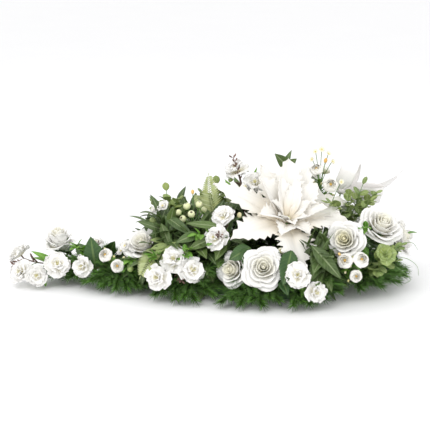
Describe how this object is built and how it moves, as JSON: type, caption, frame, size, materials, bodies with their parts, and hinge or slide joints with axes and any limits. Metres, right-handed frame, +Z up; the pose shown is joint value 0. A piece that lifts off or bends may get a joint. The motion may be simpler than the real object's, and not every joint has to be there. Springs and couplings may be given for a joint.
{
  "type": "teardrop funeral arrangement",
  "caption": "Low teardrop spray of white artificial roses, blossoms, berries and a large poinsettia over pine and mixed foliage, on a drop-shaped foam tray, pointed end to the left.",
  "frame": {"origin": "point on the underside of the tray, on the centre line of the drop, 235 mm from the centre of its small end and 165 mm from the centre of its round end", "axes": "+X from the pointed end to the round end, -Y to the front, which is the side that the picture shows, +Z up"},
  "size_m": [0.8845, 0.4302, 0.2744],
  "materials": {
    "tray": "dark green moulded plastic, slightly satin",
    "foam": "dull green open-celled dry floral foam",
    "poinsettia_petal": "ivory velvet fabric, cream towards the heart",
    "rose_petal": "white silky polyester fabric, faintly warm inside",
    "blossom_petal": "thin white polyester fabric with a frayed edge",
    "mini_rose_petal": "cream fabric, yellow-green in the cup",
    "berry": "pale yellow-green plastic with a soft shine",
    "ribbon": "off-white woven satin",
    "stem": "green plastic-coated wire",
    "rose_leaf": "dark green printed fabric with paler veins",
    "leaf": "grey-green printed fabric with a pale rib",
    "eucalyptus": "pale grey-green soft plastic with a dusty bloom",
    "fern": "pale yellow-green moulded plastic",
    "pine": "dark green cut plastic film needles on a brown twisted wire"
  },
  "bodies": {
    "root": {"tray": "tray", "foam": "foam", "poinsettia_petals": "poinsettia_petal", "poinsettia_eye": "berry", "poinsettia_stem": "stem", "rose_left": "rose_petal", "rose_left_stem": "rose_leaf", "rose_tip": "rose_petal", "rose_tip_stem": "rose_leaf", "rose_front_left": "rose_petal", "rose_front_left_stem": "rose_leaf", "rose_front": "rose_petal", "rose_front_stem": "rose_leaf", "rose_right_front": "rose_petal", "rose_right_front_stem": "rose_leaf", "rose_right": "rose_petal", "rose_right_stem": "rose_leaf", "rose_right_end": "rose_petal", "rose_right_end_stem": "rose_leaf", "rose_back_right": "rose_petal", "rose_back_right_stem": "rose_leaf", "rose_back": "rose_petal", "rose_back_stem": "rose_leaf", "blossom_tip": "blossom_petal", "blossom_left": "blossom_petal", "blossom_front_left": "blossom_petal", "blossom_middle": "blossom_petal", "blossom_top": "blossom_petal", "blossom_front_right": "blossom_petal", "blossom_back_left": "blossom_petal", "blossom_back_top": "blossom_petal", "mini_rose_left": "mini_rose_petal", "mini_rose_top": "mini_rose_petal", "mini_rose_right": "mini_rose_petal", "mini_rose_back": "mini_rose_petal", "berries": "berry", "fern_front": "fern", "fern_middle": "fern", "fern_back": "fern", "ribbon_bow": "ribbon", "eucalyptus_left": "eucalyptus", "eucalyptus_top": "eucalyptus", "eucalyptus_right": "eucalyptus", "eucalyptus_end": "eucalyptus", "leaves_left": "leaf", "leaves_middle": "leaf", "leaves_front_right": "leaf", "leaves_back_left": "leaf", "leaves_back": "leaf", "leaves_top": "leaf", "pine_tip": "pine", "pine_front_left": "pine", "pine_front_middle": "pine", "pine_front": "pine", "pine_front_right": "pine", "pine_right": "pine", "pine_end": "pine", "pine_back_right": "pine", "pine_back": "pine", "pine_back_left": "pine"}
  },
  "joints": []
}
